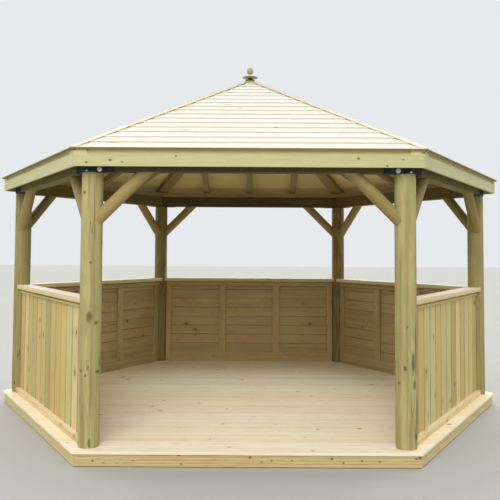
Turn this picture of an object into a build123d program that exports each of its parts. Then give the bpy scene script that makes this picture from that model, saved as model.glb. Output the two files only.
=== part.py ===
from build123d import *
import os
from math import cos, radians, sin, sqrt, tan

# Hexagonal timber garden gazebo, in millimetres, +Z up.
# The origin is the middle of the base underside, on the ground.
# Side 0 is the open front and looks along -Y. Sides count round to the right from above.

# Overall plan. Everything else is set out from the circle of post centres.
SIDES = 6
POST_CIRCLE = 2185.0
DECK_MARGIN = 159.0
EAVES_OVERHANG = 188.0

# Base
DECK_TOP = 105.0
DECK_THICKNESS = 20.0
DECK_OVERHANG = 12.0
BASE_FASCIA_THICKNESS = 20.0
BASE_FASCIA_LIFT = 3.0
REEDS = 4
REED_DEPTH = 3.0
BEARER_WIDTH = 45.0
JOIST_SPACING = 460.0

# Posts, ring beam and braces
POST_DIAMETER = 150.0
HEAD_HEIGHT = 1885.0
BEAM_HEIGHT = 120.0
BEAM_WIDTH = 103.0
BEAM_SET_IN = 35.0
BRACE_DIAMETER = 92.0
BRACE_REACH = 368.0
BRACE_OFFSET = 16.0

# Steel post-head brackets
BRACKET_PLATE = 4.0
BRACKET_HEIGHT = 55.0
BRACKET_ARM = 163.0
BRACKET_SEAT_WIDTH = 95.0

# Roof
ROOF_PITCH = 25.0
COURSES = 17
COURSE_STEP = 9.0
BOARD_THICKNESS = 6.0
RAFTER_DEPTH = 58.0
RAFTER_SEAT_CUT = 2.0
EDGE_RAFTER_WIDTH = 62.0
JACK_WIDTH = 62.0
JACK_SPACING = 535.0
PLATE_HEIGHT = 46.0
PLATE_WIDTH = 59.0
PLATE_INSET = 11.0
CLOSING_THICKNESS = 16.0
CLOSING_HEIGHT = 76.0
FASCIA_SETBACK = 21.0
FASCIA_THICKNESS = 18.0
FASCIA_DROP = 130.0
FASCIA_FACE = 88.0
FASCIA_STRIP_RECESS = 12.0
FASCIA_STRIP_END = 95.0
HIP_CAP_WIDTH = 32.0
HIP_CAP_THICKNESS = 8.0
DOWEL_DIAMETER = 40.0

# Finial heights above the peak of the hip caps, and its widths
FINIAL_HEIGHT = 108.0
FINIAL_BALL = 64.0
FINIAL_COLLAR = 152.0
FINIAL_STEM = 36.0
FINIAL_BOSS = 92.0
DOWEL_LENGTH = 150.0

# Wall panels and cap rails. Offsets are outwards from the line of post centres.
RAIL_TOP = 1009.0
CAP_THICKNESS = 38.0
CAP_INNER = -72.0
CAP_WIDTH = 128.0
CAP_MITRE_GAP = 30.0
PANEL_END_GAP = 0.3
FRAME_INNER = -27.0
FRAME_DEPTH = 30.0
LINING_RECESS = 18.0
CLADDING_THICKNESS = 5.0
CLADDING_STEP = 8.0
CLADDING_BOARDS = 13
STILE_WIDTH = 65.0
BATTEN_WIDTH = 80.0
BATTEN_SPACING = 656.0
TOP_RAIL_HEIGHT = 50.0
BOTTOM_RAIL_HEIGHT = 112.0
LINING_BOARDS = 8
LINING_PITCH = 109.0
LINING_STEP = 5.0
BEAD_HEIGHT = 18.0
BEAD_DROP = 18.0
BEAD_PROUD = 14.0
INNER_BEAD_HEIGHT = 40.0
INNER_BEAD_DROP = 12.0
INNER_BEAD_PROUD = 10.0
SILL_HEIGHT = 45.0
SILL_PROUD = 36.0

# Fits
SEAT_GAP = 0.3
HAIRLINE = 0.6
DOWEL_CLEARANCE = 1.0

HALF_TURN = radians(180.0 / SIDES)
FAR = 4.0 * POST_CIRCLE
POST_RADIUS = POST_DIAMETER / 2.0
BRACE_RADIUS = BRACE_DIAMETER / 2.0
POST_APOTHEM = POST_CIRCLE * cos(HALF_TURN)
POST_HALF_SPAN = POST_CIRCLE * sin(HALF_TURN)
DECK_RADIUS = POST_CIRCLE + DECK_MARGIN
DECK_APOTHEM = DECK_RADIUS * cos(HALF_TURN)
EAVES_APOTHEM = POST_APOTHEM + EAVES_OVERHANG
BEAM_BOTTOM = DECK_TOP + HEAD_HEIGHT
BEAM_TOP = BEAM_BOTTOM + BEAM_HEIGHT
BEAM_INNER = POST_APOTHEM - BEAM_SET_IN
BEAM_OUTER = BEAM_INNER + BEAM_WIDTH
POST_TOP = BEAM_BOTTOM - BRACKET_PLATE - 2.0 * SEAT_GAP
SLOPE = radians(ROOF_PITCH)
SLOPE_LENGTH = EAVES_APOTHEM / cos(SLOPE)
PLATE_INNER = BEAM_INNER - PLATE_INSET
PLATE_OUTER = PLATE_INNER + PLATE_WIDTH
PLATE_TOP = BEAM_TOP + SEAT_GAP + PLATE_HEIGHT
RAFTER_STACK = (BOARD_THICKNESS + SEAT_GAP + RAFTER_DEPTH) / cos(SLOPE)
ROOF_AT_POSTS = PLATE_TOP - RAFTER_SEAT_CUT + RAFTER_STACK
EAVES_BASE_Z = ROOF_AT_POSTS - EAVES_OVERHANG * tan(SLOPE)
EAVES_TOP = EAVES_BASE_Z + COURSE_STEP * cos(SLOPE)
FASCIA_OUTER = EAVES_APOTHEM - FASCIA_SETBACK
FASCIA_INNER = FASCIA_OUTER - FASCIA_THICKNESS
FASCIA_BOTTOM = EAVES_TOP - FASCIA_DROP
CORNER_NAMES = ["front_right", "right", "rear_right", "rear_left", "left", "front_left"]
SIDE_NAMES = ["front", "front_right", "rear_right", "rear", "rear_left", "front_left"]


def along_side(points, half_length):
    # Points are (distance out from the middle, height). The shape runs along side 0.
    outline = Polyline([(0.0, -out, height) for out, height in points], close=True)
    return extrude(make_face(outline), amount=half_length, dir=(1, 0, 0), both=True)


def wedge(gap):
    # Sixth of the plan that belongs to side 0, drawn back by half the gap at each mitre.
    half = FAR * tan(HALF_TURN)
    outline = Polyline([(0.0, -gap), (half, -FAR - gap), (-half, -FAR - gap)], close=True)
    return Pos(0, 0, -FAR) * extrude(make_face(outline), amount=2.0 * FAR, dir=(0, 0, 1))


def block(x_low, x_high, out_low, out_high, z_low, z_high):
    size = Box(x_high - x_low, out_high - out_low, z_high - z_low)
    return Pos((x_low + x_high) / 2, -(out_low + out_high) / 2, (z_low + z_high) / 2) * size


def full(out_low, out_high, z_low, z_high):
    # A long bar along side 0, to be cut to length by the mitre planes.
    return block(-FAR, FAR, out_low, out_high, z_low, z_high)


def turned(shape, side):
    return Rot(0, 0, 360.0 / SIDES * side) * shape


def roof_point(s, h):
    # A point s up the slope from the eaves and h above the plane under the course steps.
    return (
        EAVES_APOTHEM - s * cos(SLOPE) + h * sin(SLOPE),
        EAVES_BASE_Z + s * sin(SLOPE) + h * cos(SLOPE),
    )


def roof_height(out, h):
    # Height of the plane h above the course plane, at a distance out from the middle.
    return EAVES_BASE_Z + (EAVES_APOTHEM - out) * tan(SLOPE) + h / cos(SLOPE)


def save(shape, name):
    if isinstance(shape, (list, ShapeList)):
        shape = Compound(children=list(shape))
    export_step(shape, os.path.join("parts", name + ".step"))


def solids_of(shape):
    return list(shape.solids())


def merged(shapes):
    result = shapes[0]
    for shape in shapes[1:]:
        result = result + shape
    return result


def all_sides(shape):
    pieces = []
    for k in range(SIDES):
        pieces.extend(solids_of(turned(shape, k)))
    return pieces


# Base: six mitred bearers round the edge, joists between them and a reeded fascia outside.

def build_base():
    fascia_outer = DECK_APOTHEM - DECK_OVERHANG
    fascia_inner = fascia_outer - BASE_FASCIA_THICKNESS
    bearer_outer = fascia_inner - SEAT_GAP
    bearer_inner = bearer_outer - BEARER_WIDTH
    joist_limit = bearer_inner - SEAT_GAP
    top = DECK_TOP - DECK_THICKNESS - SEAT_GAP
    bearer = full(bearer_inner, bearer_outer, 0.0, top) & wedge(HAIRLINE)
    pitch = (top - BASE_FASCIA_LIFT) / REEDS
    reeded = [(fascia_inner, BASE_FASCIA_LIFT)]
    for reed in range(REEDS):
        low = BASE_FASCIA_LIFT + reed * pitch
        reeded.append((fascia_outer - REED_DEPTH, low + pitch * 0.02))
        reeded.append((fascia_outer, low + pitch * 0.22))
        reeded.append((fascia_outer, low + pitch * 0.78))
        reeded.append((fascia_outer - REED_DEPTH, low + pitch * 0.98))
    reeded.append((fascia_inner, top))
    fascia = along_side(reeded, FAR) & wedge(HAIRLINE)
    frame = all_sides(bearer)
    plan = RegularPolygon(joist_limit / cos(HALF_TURN), SIDES)
    inside = extrude(plan, amount=top)
    reach = joist_limit / cos(HALF_TURN)
    each_way = int((reach - BEARER_WIDTH) / JOIST_SPACING)
    for index in range(-each_way, each_way + 1):
        joist = Pos(index * JOIST_SPACING, 0, top / 2.0) * Box(BEARER_WIDTH, 2.0 * FAR, top)
        frame.extend(solids_of(joist & inside))
    save(frame, "base_frame")
    save(all_sides(fascia), "base_fascia")
    deck_plan = RegularPolygon(DECK_RADIUS, SIDES)
    deck = Pos(0, 0, DECK_TOP - DECK_THICKNESS) * extrude(deck_plan, amount=DECK_THICKNESS)
    save(deck, "deck_boards")


# Posts are round poles that stand on the deck and carry the brackets and the ring beam.

def build_posts():
    length = POST_TOP - DECK_TOP - SEAT_GAP
    middle = DECK_TOP + SEAT_GAP + length / 2.0
    for k in range(SIDES):
        post = Pos(POST_HALF_SPAN, -POST_APOTHEM, middle) * Cylinder(POST_RADIUS, length)
        save(turned(post, k), "post_" + CORNER_NAMES[k])


def build_ring_beam():
    beam = full(BEAM_INNER, BEAM_OUTER, BEAM_BOTTOM, BEAM_TOP) & wedge(HAIRLINE)
    save(all_sides(beam), "ring_beam")


# A brace is a round pole, saddle cut to the round post below and cut level under the beam.

def build_braces():
    start = BEAM_BOTTOM - BRACE_REACH
    length = BRACE_REACH * sqrt(2.0) + BRACE_DIAMETER
    axis = Plane(
        origin=(POST_HALF_SPAN, -(POST_APOTHEM + BRACE_OFFSET), start),
        x_dir=(0, 1, 0),
        z_dir=(-1, 0, 1),
    )
    pole = extrude(axis * Circle(BRACE_RADIUS), amount=length)
    post = Pos(POST_HALF_SPAN, -POST_APOTHEM, 0) * Cylinder(POST_RADIUS + SEAT_GAP, 2.0 * FAR)
    beam = full(0.0, FAR, BEAM_BOTTOM - SEAT_GAP, FAR)
    brace = pole - post - beam
    other = mirror(brace, about=Plane.YZ)
    for k in range(SIDES):
        pair = solids_of(turned(brace, k)) + solids_of(turned(other, k + 1))
        save(pair, "braces_" + CORNER_NAMES[k])


# Each bracket is a plate folded round the outside of the corner, with a seat under the beams.

def build_brackets():
    bottom = BEAM_BOTTOM - BRACKET_PLATE - SEAT_GAP
    inner = BEAM_OUTER + SEAT_GAP
    outer = inner + BRACKET_PLATE
    seat_inner = outer - BRACKET_SEAT_WIDTH
    profile = [
        (seat_inner, bottom),
        (outer, bottom),
        (outer, bottom + BRACKET_HEIGHT),
        (inner, bottom + BRACKET_HEIGHT),
        (inner, bottom + BRACKET_PLATE),
        (seat_inner, bottom + BRACKET_PLATE),
    ]
    arm = along_side(profile, FAR) & wedge(0.0)
    arm = arm & block(POST_HALF_SPAN - BRACKET_ARM, FAR, 0.0, FAR, 0.0, FAR)
    other = mirror(arm, about=Plane.YZ)
    save(all_sides(arm + turned(other, 1)), "post_brackets")


# Roof: six sections, each a boarded slope on its own frame, meeting on the hip lines.

def build_roof():
    exposure = SLOPE_LENGTH / COURSES
    points = [roof_point(0.0, -BOARD_THICKNESS)]
    for course in range(COURSES):
        points.append(roof_point(course * exposure, COURSE_STEP))
        points.append(roof_point((course + 1) * exposure, 0.0))
    points.append(roof_point(SLOPE_LENGTH, -BOARD_THICKNESS))
    dowel_hole = Cylinder(DOWEL_DIAMETER / 2.0 + DOWEL_CLEARANCE, 2.0 * FAR)
    slope = (along_side(points, FAR) & wedge(HAIRLINE)) - dowel_hole

    # Frame members are separate solids: two edge rafters on the hips, three jack rafters between
    # them, an eaves plate on the ring beam and a closing board across the rafter tails.
    tail = FASCIA_INNER - SEAT_GAP
    closing_inner = tail - CLOSING_THICKNESS
    rafter_end = closing_inner - SEAT_GAP
    under = -BOARD_THICKNESS - SEAT_GAP
    rafter_profile = [
        (rafter_end, roof_height(rafter_end, under)),
        (0.0, roof_height(0.0, under)),
        (0.0, roof_height(0.0, under - RAFTER_DEPTH)),
        (rafter_end, roof_height(rafter_end, under - RAFTER_DEPTH)),
    ]
    plate = full(PLATE_INNER, PLATE_OUTER, BEAM_TOP + SEAT_GAP, PLATE_TOP)
    plate_notch = full(PLATE_INNER - SEAT_GAP, PLATE_OUTER + SEAT_GAP, BEAM_TOP, PLATE_TOP + SEAT_GAP)
    slab = along_side(rafter_profile, FAR) - plate_notch
    section = (slab & wedge(HAIRLINE)) - dowel_hole
    inside_edges = wedge(HAIRLINE + 2.0 * EDGE_RAFTER_WIDTH)
    jack_room = wedge(HAIRLINE + 2.0 * EDGE_RAFTER_WIDTH + 2.0 * HAIRLINE)
    edges = section - inside_edges
    members = solids_of(edges & block(HAIRLINE / 2, FAR, -FAR, FAR, 0, FAR))
    members.extend(solids_of(edges & block(-FAR, -HAIRLINE / 2, -FAR, FAR, 0, FAR)))
    for x in (-JACK_SPACING, 0.0, JACK_SPACING):
        strip = block(x - JACK_WIDTH / 2, x + JACK_WIDTH / 2, 0, FAR, 0, FAR)
        members.extend(solids_of(section & strip & jack_room))
    members.extend(solids_of(plate & wedge(HAIRLINE)))
    closing = [
        (closing_inner, roof_height(closing_inner, under)),
        (tail, roof_height(tail, under)),
        (tail, roof_height(tail, under) - CLOSING_HEIGHT),
        (closing_inner, roof_height(tail, under) - CLOSING_HEIGHT),
    ]
    members.extend(solids_of(along_side(closing, FAR) & wedge(HAIRLINE)))
    for k in range(SIDES):
        save(turned(slope, k), "roof_boards_" + SIDE_NAMES[k])
        save([turned(member, k) for member in members], "roof_frame_" + SIDE_NAMES[k])


def build_fascia():
    strip = FASCIA_OUTER - FASCIA_STRIP_RECESS
    under = -BOARD_THICKNESS - 2.0 * SEAT_GAP
    profile = [
        (FASCIA_INNER, FASCIA_BOTTOM),
        (FASCIA_OUTER, FASCIA_BOTTOM),
        (FASCIA_OUTER, roof_height(FASCIA_OUTER, under)),
        (FASCIA_INNER, roof_height(FASCIA_INNER, under)),
    ]
    # The strip above the face is set back, except for a filled length at each corner.
    recess = [
        (strip, FASCIA_BOTTOM + FASCIA_FACE),
        (FAR, FASCIA_BOTTOM + FASCIA_FACE),
        (FAR, FAR),
        (strip, FAR),
    ]
    corner = FASCIA_OUTER * tan(HALF_TURN)
    fascia = along_side(profile, FAR) & wedge(HAIRLINE)
    fascia = fascia - along_side(recess, corner - FASCIA_STRIP_END)
    save(all_sides(fascia), "eaves_fascia")


# Hip caps: folded strips over the six joints, seated on the proud edges of the courses.

def build_hip_caps():
    low = COURSE_STEP + SEAT_GAP
    high = low + HIP_CAP_THICKNESS
    out_low = DOWEL_DIAMETER
    out_high = EAVES_APOTHEM
    profile = [
        (out_high, roof_height(out_high, low)),
        (out_high, roof_height(out_high, high)),
        (out_low, roof_height(out_low, high)),
        (out_low, roof_height(out_low, low)),
    ]
    trimmed = wedge(0.0) - wedge(2.0 * HIP_CAP_WIDTH)
    strip = along_side(profile, FAR) & trimmed
    right = strip & block(HAIRLINE / 2, FAR, -FAR, FAR, 0, FAR)
    left = mirror(right, about=Plane.YZ)
    cap = right + turned(left, 1)
    save(all_sides(cap), "hip_caps")


# Finial: a turned boss bedded on the hip caps, a dished collar, and an egg on a flared neck.

def build_finial():
    top_layer = COURSE_STEP + SEAT_GAP + HIP_CAP_THICKNESS
    peak = roof_height(0.0, top_layer)
    boss = FINIAL_BOSS / 2.0
    stem = FINIAL_STEM / 2.0
    collar = FINIAL_COLLAR / 2.0
    ball = FINIAL_BALL / 2.0
    unit = FINIAL_HEIGHT / 122.0

    def bed(r):
        # Height of the hip caps' top at a radius r, measured along a hip, plus the seat gap.
        return roof_height(r * cos(HALF_TURN), top_layer) + SEAT_GAP

    dowel = DOWEL_DIAMETER / 2.0
    lower = [
        (0.0, peak - DOWEL_LENGTH),
        (dowel, peak - DOWEL_LENGTH),
        (dowel, bed(dowel)),
        (boss, bed(boss)),
        (boss, bed(boss) + 5.0 * unit),
        (stem + 3.0, bed(stem) + 8.0 * unit),
        (stem, peak + 12.0 * unit),
        (stem, peak + 24.0 * unit),
        (collar, peak + 13.0 * unit),
        (collar, peak + 17.0 * unit),
        (stem + 4.0, peak + 31.0 * unit),
        (stem - 4.0, peak + 40.0 * unit),
        (stem - 6.0, peak + 49.0 * unit),
    ]
    egg = [
        (stem - 6.0, peak + 49.0 * unit),
        (ball * 0.68, peak + 57.0 * unit),
        (ball * 0.92, peak + 70.0 * unit),
        (ball, peak + 86.0 * unit),
        (ball * 0.90, peak + 102.0 * unit),
        (ball * 0.62, peak + 115.0 * unit),
        (0.0, peak + FINIAL_HEIGHT),
    ]
    low_line = Polyline([(r, 0.0, z) for r, z in lower])
    egg_line = Spline([(r, 0.0, z) for r, z in egg], tangents=[(0.3, 0, 1), (-1, 0, 0)])
    axis_line = Line((0.0, 0.0, peak + FINIAL_HEIGHT), (0.0, 0.0, peak - DOWEL_LENGTH))
    outline = make_face(Curve() + [low_line, egg_line, axis_line])
    save(revolve(outline, axis=Axis.Z, revolution_arc=360), "finial")


# Wall panels: a framed panel lined inside and clad outside, with two beads and a sill.

def build_panels():
    base = DECK_TOP + SEAT_GAP
    top = DECK_TOP + RAIL_TOP - CAP_THICKNESS
    half = POST_HALF_SPAN - POST_RADIUS - PANEL_END_GAP
    frame_outer = FRAME_INNER + FRAME_DEPTH
    clad_low = frame_outer + CLADDING_THICKNESS
    clad_high = clad_low + CLADDING_STEP
    bead_outer = clad_high + BEAD_PROUD

    def layer(x_low, x_high, off_low, off_high, z_low, z_high):
        return block(x_low, x_high, POST_APOTHEM + off_low, POST_APOTHEM + off_high, z_low, z_high)

    def frame_part(x_low, x_high, z_low, z_high):
        return layer(x_low, x_high, FRAME_INNER, frame_outer, z_low, z_high)

    # Cladding boards stand upright. Each has a thick edge that laps the next board's thin edge.
    width = 2.0 * half / CLADDING_BOARDS
    plan = [(-half, frame_outer)]
    for board in range(CLADDING_BOARDS):
        plan.append((-half + board * width, clad_low))
        plan.append((-half + (board + 1) * width, clad_high))
    plan.append((half, frame_outer))
    outline = Polyline([(x, -(POST_APOTHEM + off), base) for x, off in plan], close=True)
    cladding = extrude(make_face(outline), amount=top - base, dir=(0, 0, 1))

    bay = BATTEN_SPACING / 2.0
    members = [
        cladding,
        frame_part(-half, half, top - TOP_RAIL_HEIGHT, top),
        frame_part(-half, half, base, base + BOTTOM_RAIL_HEIGHT),
        frame_part(-half, -half + STILE_WIDTH, base, top),
        frame_part(half - STILE_WIDTH, half, base, top),
        frame_part(-bay - BATTEN_WIDTH / 2, -bay + BATTEN_WIDTH / 2, base, top),
        frame_part(bay - BATTEN_WIDTH / 2, bay + BATTEN_WIDTH / 2, base, top),
    ]
    inner = POST_APOTHEM + FRAME_INNER + LINING_RECESS
    outer = POST_APOTHEM + frame_outer
    low = base + BOTTOM_RAIL_HEIGHT
    high = top - TOP_RAIL_HEIGHT / 2.0
    lining = [(outer, low - LINING_STEP), (inner, low - LINING_STEP)]
    for board in range(1, LINING_BOARDS):
        joint = low + board * LINING_PITCH
        lining.append((inner + LINING_STEP, joint))
        lining.append((inner, joint))
    lining.append((inner + LINING_STEP, high))
    lining.append((outer, high))
    members.append(along_side(lining, half - STILE_WIDTH / 2.0))
    bead_high = top - BEAD_DROP
    members.append(layer(-half, half, frame_outer, bead_outer, bead_high - BEAD_HEIGHT, bead_high))
    members.append(layer(-half, half, frame_outer, clad_high + SILL_PROUD, base, base + SILL_HEIGHT))
    trim_high = top - INNER_BEAD_DROP
    trim_low = trim_high - INNER_BEAD_HEIGHT
    trim_inner = FRAME_INNER - INNER_BEAD_PROUD
    members.append(layer(-half, half, trim_inner, FRAME_INNER, trim_low, trim_high))
    panel = merged(members)
    flipped = mirror(panel, about=Plane.YZ)

    post = Pos(POST_HALF_SPAN, -POST_APOTHEM, 0) * Cylinder(POST_RADIUS + 2.0, 2.0 * FAR)
    cap_low = top + SEAT_GAP
    cap = layer(
        -FAR,
        FAR,
        CAP_INNER,
        CAP_INNER + CAP_WIDTH,
        cap_low,
        cap_low + CAP_THICKNESS,
    )
    cap = (cap & wedge(CAP_MITRE_GAP)) - post - mirror(post, about=Plane.YZ)
    for k in range(1, SIDES):
        source = panel if k <= SIDES / 2 else flipped
        save(turned(source, k), "panel_" + SIDE_NAMES[k])
        save(turned(cap, k), "cap_rail_" + SIDE_NAMES[k])


os.makedirs("parts", exist_ok=True)
build_base()
build_posts()
build_ring_beam()
build_braces()
build_brackets()
build_roof()
build_fascia()
build_hip_caps()
build_finial()
build_panels()
print("eaves top", round(EAVES_TOP, 1), "fascia bottom", round(FASCIA_BOTTOM, 1))
print("peak", round(roof_height(0.0, COURSE_STEP + SEAT_GAP + HIP_CAP_THICKNESS), 1))
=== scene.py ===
import random
from math import atan2, ceil, cos, pi, radians, sin, sqrt

import bmesh
import bpy
import numpy as np
from mathutils import Matrix, Vector


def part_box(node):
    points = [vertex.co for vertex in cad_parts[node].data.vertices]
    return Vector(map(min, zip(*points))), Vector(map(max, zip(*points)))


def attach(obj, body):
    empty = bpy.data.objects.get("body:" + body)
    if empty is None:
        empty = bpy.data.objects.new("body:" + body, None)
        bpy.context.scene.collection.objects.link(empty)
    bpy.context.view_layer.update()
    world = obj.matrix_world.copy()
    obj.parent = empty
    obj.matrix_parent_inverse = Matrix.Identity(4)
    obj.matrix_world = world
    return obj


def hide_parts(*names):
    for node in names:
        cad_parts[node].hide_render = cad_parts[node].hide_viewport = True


# Hexagonal timber garden gazebo, in metres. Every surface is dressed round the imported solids.
# Side 0 is the open front and looks along -Y. Sides and corners count round to the right.

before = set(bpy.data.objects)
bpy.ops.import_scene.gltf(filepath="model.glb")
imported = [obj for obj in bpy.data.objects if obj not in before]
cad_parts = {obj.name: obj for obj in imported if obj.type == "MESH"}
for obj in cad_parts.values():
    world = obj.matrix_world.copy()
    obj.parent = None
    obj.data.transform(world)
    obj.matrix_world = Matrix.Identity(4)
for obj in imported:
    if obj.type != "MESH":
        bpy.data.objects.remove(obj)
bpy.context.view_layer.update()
chance = random.Random(7)

SIDES = 6
HALF_TURN = pi / SIDES
SIDE_NAMES = ["front", "front_right", "rear_right", "rear", "rear_left", "front_left"]
CORNER_NAMES = ["front_right", "right", "rear_right", "rear_left", "left", "front_left"]

# Directions on side 0
ALONG = (1, 0, 0)
INWARD = (0, 1, 0)
OUT = (0, -1, 0)
UP = (0, 0, 1)

# The photograph's camera: place, aim and the picture's middle, worked out from the post feet,
# the deck corners and the eaves corners.
PICTURE_WIDTH = 500.0
FOCAL_PIXELS = 701.38
AXIS_ROW = 214.60
SENSOR_WIDTH = 36.0
CAMERA_PLACE = (0.0158, -6.7808, 1.4458)
CAMERA_YAW = 0.00133
CAMERA_PITCH = 0.05212
CAMERA_ROLL = 0.00566

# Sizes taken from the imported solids
deck_low, deck_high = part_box("deck_boards")
DECK_RADIUS = deck_high.x
DECK_APOTHEM = deck_high.y
DECK_TOP = deck_high.z
DECK_THICKNESS = deck_high.z - deck_low.z
post_low, post_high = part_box("post_right")
POST_CIRCLE = (post_low.x + post_high.x) / 2
POST_RADIUS = (post_high.y - post_low.y) / 2
POST_FOOT = post_low.z
POST_HEAD = post_high.z
POST_APOTHEM = POST_CIRCLE * cos(HALF_TURN)
POST_HALF_SPAN = POST_CIRCLE * sin(HALF_TURN)
panel_low, panel_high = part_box("panel_rear")
PANEL_HALF = panel_high.x
PANEL_BASE = panel_low.z
PANEL_TOP = panel_high.z
bracket_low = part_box("post_brackets")[0]
slope_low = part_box("roof_boards_front")[0]
FASCIA_FACE = 0.088
STRIP_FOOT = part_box("eaves_fascia")[0].z + FASCIA_FACE
FINIAL_SHOWN = 0.110
FINIAL_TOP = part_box("finial")[1].z
FINIAL_FOOT = FINIAL_TOP - FINIAL_SHOWN

# Decking: planks run from side to side
DECK_PITCH = 0.1245
DECK_GAP = 0.004
DECK_EASE = 0.0025
DECK_SPARE = 0.1
JOIST_SPACING = 0.46
JOISTS_EACH_WAY = 5
SCREW_RADIUS = 0.0042
SCREW_SUNK = 0.001
SCREW_PROUD = 0.0004
SCREW_SIDES = 10
SCREW_INSET = 0.028
SCREW_EDGE = 0.06

# Roof boards, laid out as in the solids but with a lower step
SLOPE = radians(25.0)
COURSES = 17
COURSE_STEP = 0.007
ROOF_BOARD = 0.006
ROOF_EASE = 0.0015
MITRE_GAP = 0.0006
PEAK_GAP = 0.021
HIP_CAP_WIDTH = 0.032
HIP_CAP_THICKNESS = 0.005
HIP_CAP_CLEAR = 0.0003
HIP_CAP_EASE = 0.001
HIP_CAP_PEAK_GAP = 0.041
EAVES_APOTHEM = -slope_low.y - COURSE_STEP * sin(SLOPE)
EAVES_BASE = slope_low.z + ROOF_BOARD * cos(SLOPE)
SLOPE_LENGTH = EAVES_APOTHEM / cos(SLOPE)
EXPOSURE = SLOPE_LENGTH / COURSES
ROUGH_LENGTH = 2 * (EAVES_APOTHEM + 0.2)

# Wall panels, as in the solids. Offsets are outwards from the panel's inner face.
FRAME_DEPTH = 0.030
LINING_RECESS = 0.018
LINING_BOARDS = 8
LINING_PITCH = 0.109
LINING_STEP = 0.005
LINING_EASE = 0.0015
STILE_WIDTH = 0.065
BATTEN_WIDTH = 0.080
BATTEN_SPACING = 0.656
TOP_RAIL = 0.05
BOTTOM_RAIL = 0.112
CLADDING = 0.005
CLADDING_STEP = 0.008
CLADDING_BOARDS = 13
BEAD_HEIGHT = 0.018
BEAD_DROP = 0.018
BEAD_PROUD = 0.014
INNER_BEAD_HEIGHT = 0.04
INNER_BEAD_DROP = 0.012
INNER_BEAD_PROUD = 0.01
SILL_HEIGHT = 0.045
SILL_PROUD = 0.036
SILL_EASE = 0.003
PANEL_EASE = 0.002
JOINT_LINE = 0.002
# Width of the painted shade strip at each cladding board's thick edge
SHADE_EDGE = 0.014
LAP_LINE = 0.010
LAP_CLEAR = 0.0004
LAP_SUNK = 0.002
END_CLEAR = 0.001
BACK_CLEAR = 0.0005
FRAME_INNER = panel_low.y + INNER_BEAD_PROUD
FRAME_OUTER = FRAME_INNER + FRAME_DEPTH
FRAME_MIDDLE = (FRAME_INNER + FRAME_OUTER) / 2
CLADDING_FACE = FRAME_OUTER + CLADDING + CLADDING_STEP
SILL_TOP = PANEL_BASE + SILL_HEIGHT
BOTTOM_RAIL_TOP = PANEL_BASE + BOTTOM_RAIL
LINING_TOP = PANEL_TOP - TOP_RAIL
BETWEEN_STILES = 2 * (PANEL_HALF - STILE_WIDTH) - END_CLEAR

# Tones place a board among the tints of its timber, from 0 to 1. Corners and sides are in order.
# The rear posts take the darkest tones: painted shade
POST_TONES = [0.0, 0.45, 1.0, 1.0, 0.6, 0.0]
# The front and rear beams take the darkest tones: painted shade of the eaves
BEAM_TONES = [0.0, 1.0, 0.6, 0.3, 0.6, 1.0]
# The side panels' inner boards take darker tones than the rear panel's: painted shade
SIDE_INNER_SHADE_TONES = (0.16, 0.25)
REAR_INNER_TONES = (0.125, 0.2)
BEAD_TONES = (0.45, 0.6)
SILL_TONE = 0.625
ANY_CLADDING_TONE = (0.375, 1.0)
CLADDING_TONES = {
    "front_right": (0.7, 0.375, 1.0, 1.0, 0.84, 0.55, 1.0, 0.74, 0.6, 0.82, 0.57, 0.95, 0.8),
    "front_left": (0.7, 0.62, 1.0, 0.86, 0.4, 0.45, 0.75, 0.52, 0.86, 0.72, 0.45, 0.6, 0.84),
}

# Poles
POLE_COLUMNS = 56
POLE_ROW = 0.035
POLE_UNEVEN = 0.0006
POLE_WAVES = 6
POLE_WOUND = 0.03
POLE_WOUND_RATE = 2.1
POLE_DRIFT = 0.1
POLE_END_EASE = 0.003
POLE_PITH = 0.012
POLE_SHARP = radians(45.0)
POLE_CHECKS = 3
CHECK_REACH = (0.25, 0.6)
CHECK_CLEAR = 2.5
CHECK_HALF_WIDTH = 0.0016
CHECK_DEPTH = 0.006

# Bolts of the post-head brackets
BOLT_OUT = 0.062
BOLT_UP = 0.019
CORNER_BOLT_OUT = -0.026
CORNER_BOLT_UP = 0.009
BOLT_HEAD = 0.012
BOLT_HEAD_HEIGHT = 0.009
BOLT_SIDES = 6
BOLT_EASE = 0.0008
SMALL_BOLT = 0.6
SMALL_BOLT_EASE = 0.0006
WASHER_RADIUS = 0.017
WASHER_THICKNESS = 0.002
WASHER_SIDES = 20

# Grain: how far along its log a board starts, and how far the pith lies beside and under it
LOG_LENGTH = 60.0
PITH_ASIDE = 0.03
PITH_UNDER = (0.03, 0.08)
BRACE_PITH = (0.005, -0.008)
FINIAL_PITH = (0.006, 0.004)

# Mesh work
WELD = 1e-5
CUT_TOLERANCE = 1e-6
FLAT = radians(1.0)
FINIAL_FLAT = radians(0.1)
EASED_ANGLE = radians(25.0)
LONG_EDGE_ANGLE = radians(30.0)
LONG_EDGE = 0.1
LONG_EDGE_ALIGNED = 0.97
TIMBER_EASE = 0.002
BEAM_EASE = 0.003
RAIL_EASE = 0.004
PLATE_EASE = 0.0008
BRACE_SHARP = radians(32.0)
FINIAL_SHARP = radians(40.0)
RAIL_SHARP = radians(28.0)

# Studio: light from above a low horizon, and a wide box in front
BACKDROP = (0.80, 0.82, 0.84, 1.0)
SKY_LOW = (0.10, 0.11, 0.10, 1.0)
SKY_HIGH = (1.04, 1.04, 1.04, 1.0)
SKY_OVERHEAD = (0.62, 0.62, 0.63, 1.0)
SKY_BEHIND = (3.2, 3.2, 3.1, 1.0)
SKY_RISE = (0.0, 0.18)
OVERHEAD_RISE = (0.55, 0.95)
BEHIND_SPAN = (0.1, 0.8)
KEY_PLACE = (-2.0, -12.0, 8.5)
KEY_AIM = (0, -1.0, 1.0)
KEY_SIZE = 7.0
KEY_POWER = 900.0
KEY_COLOUR = (1.0, 0.98, 0.95)
FLOOR_REACH = 60.0


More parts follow.
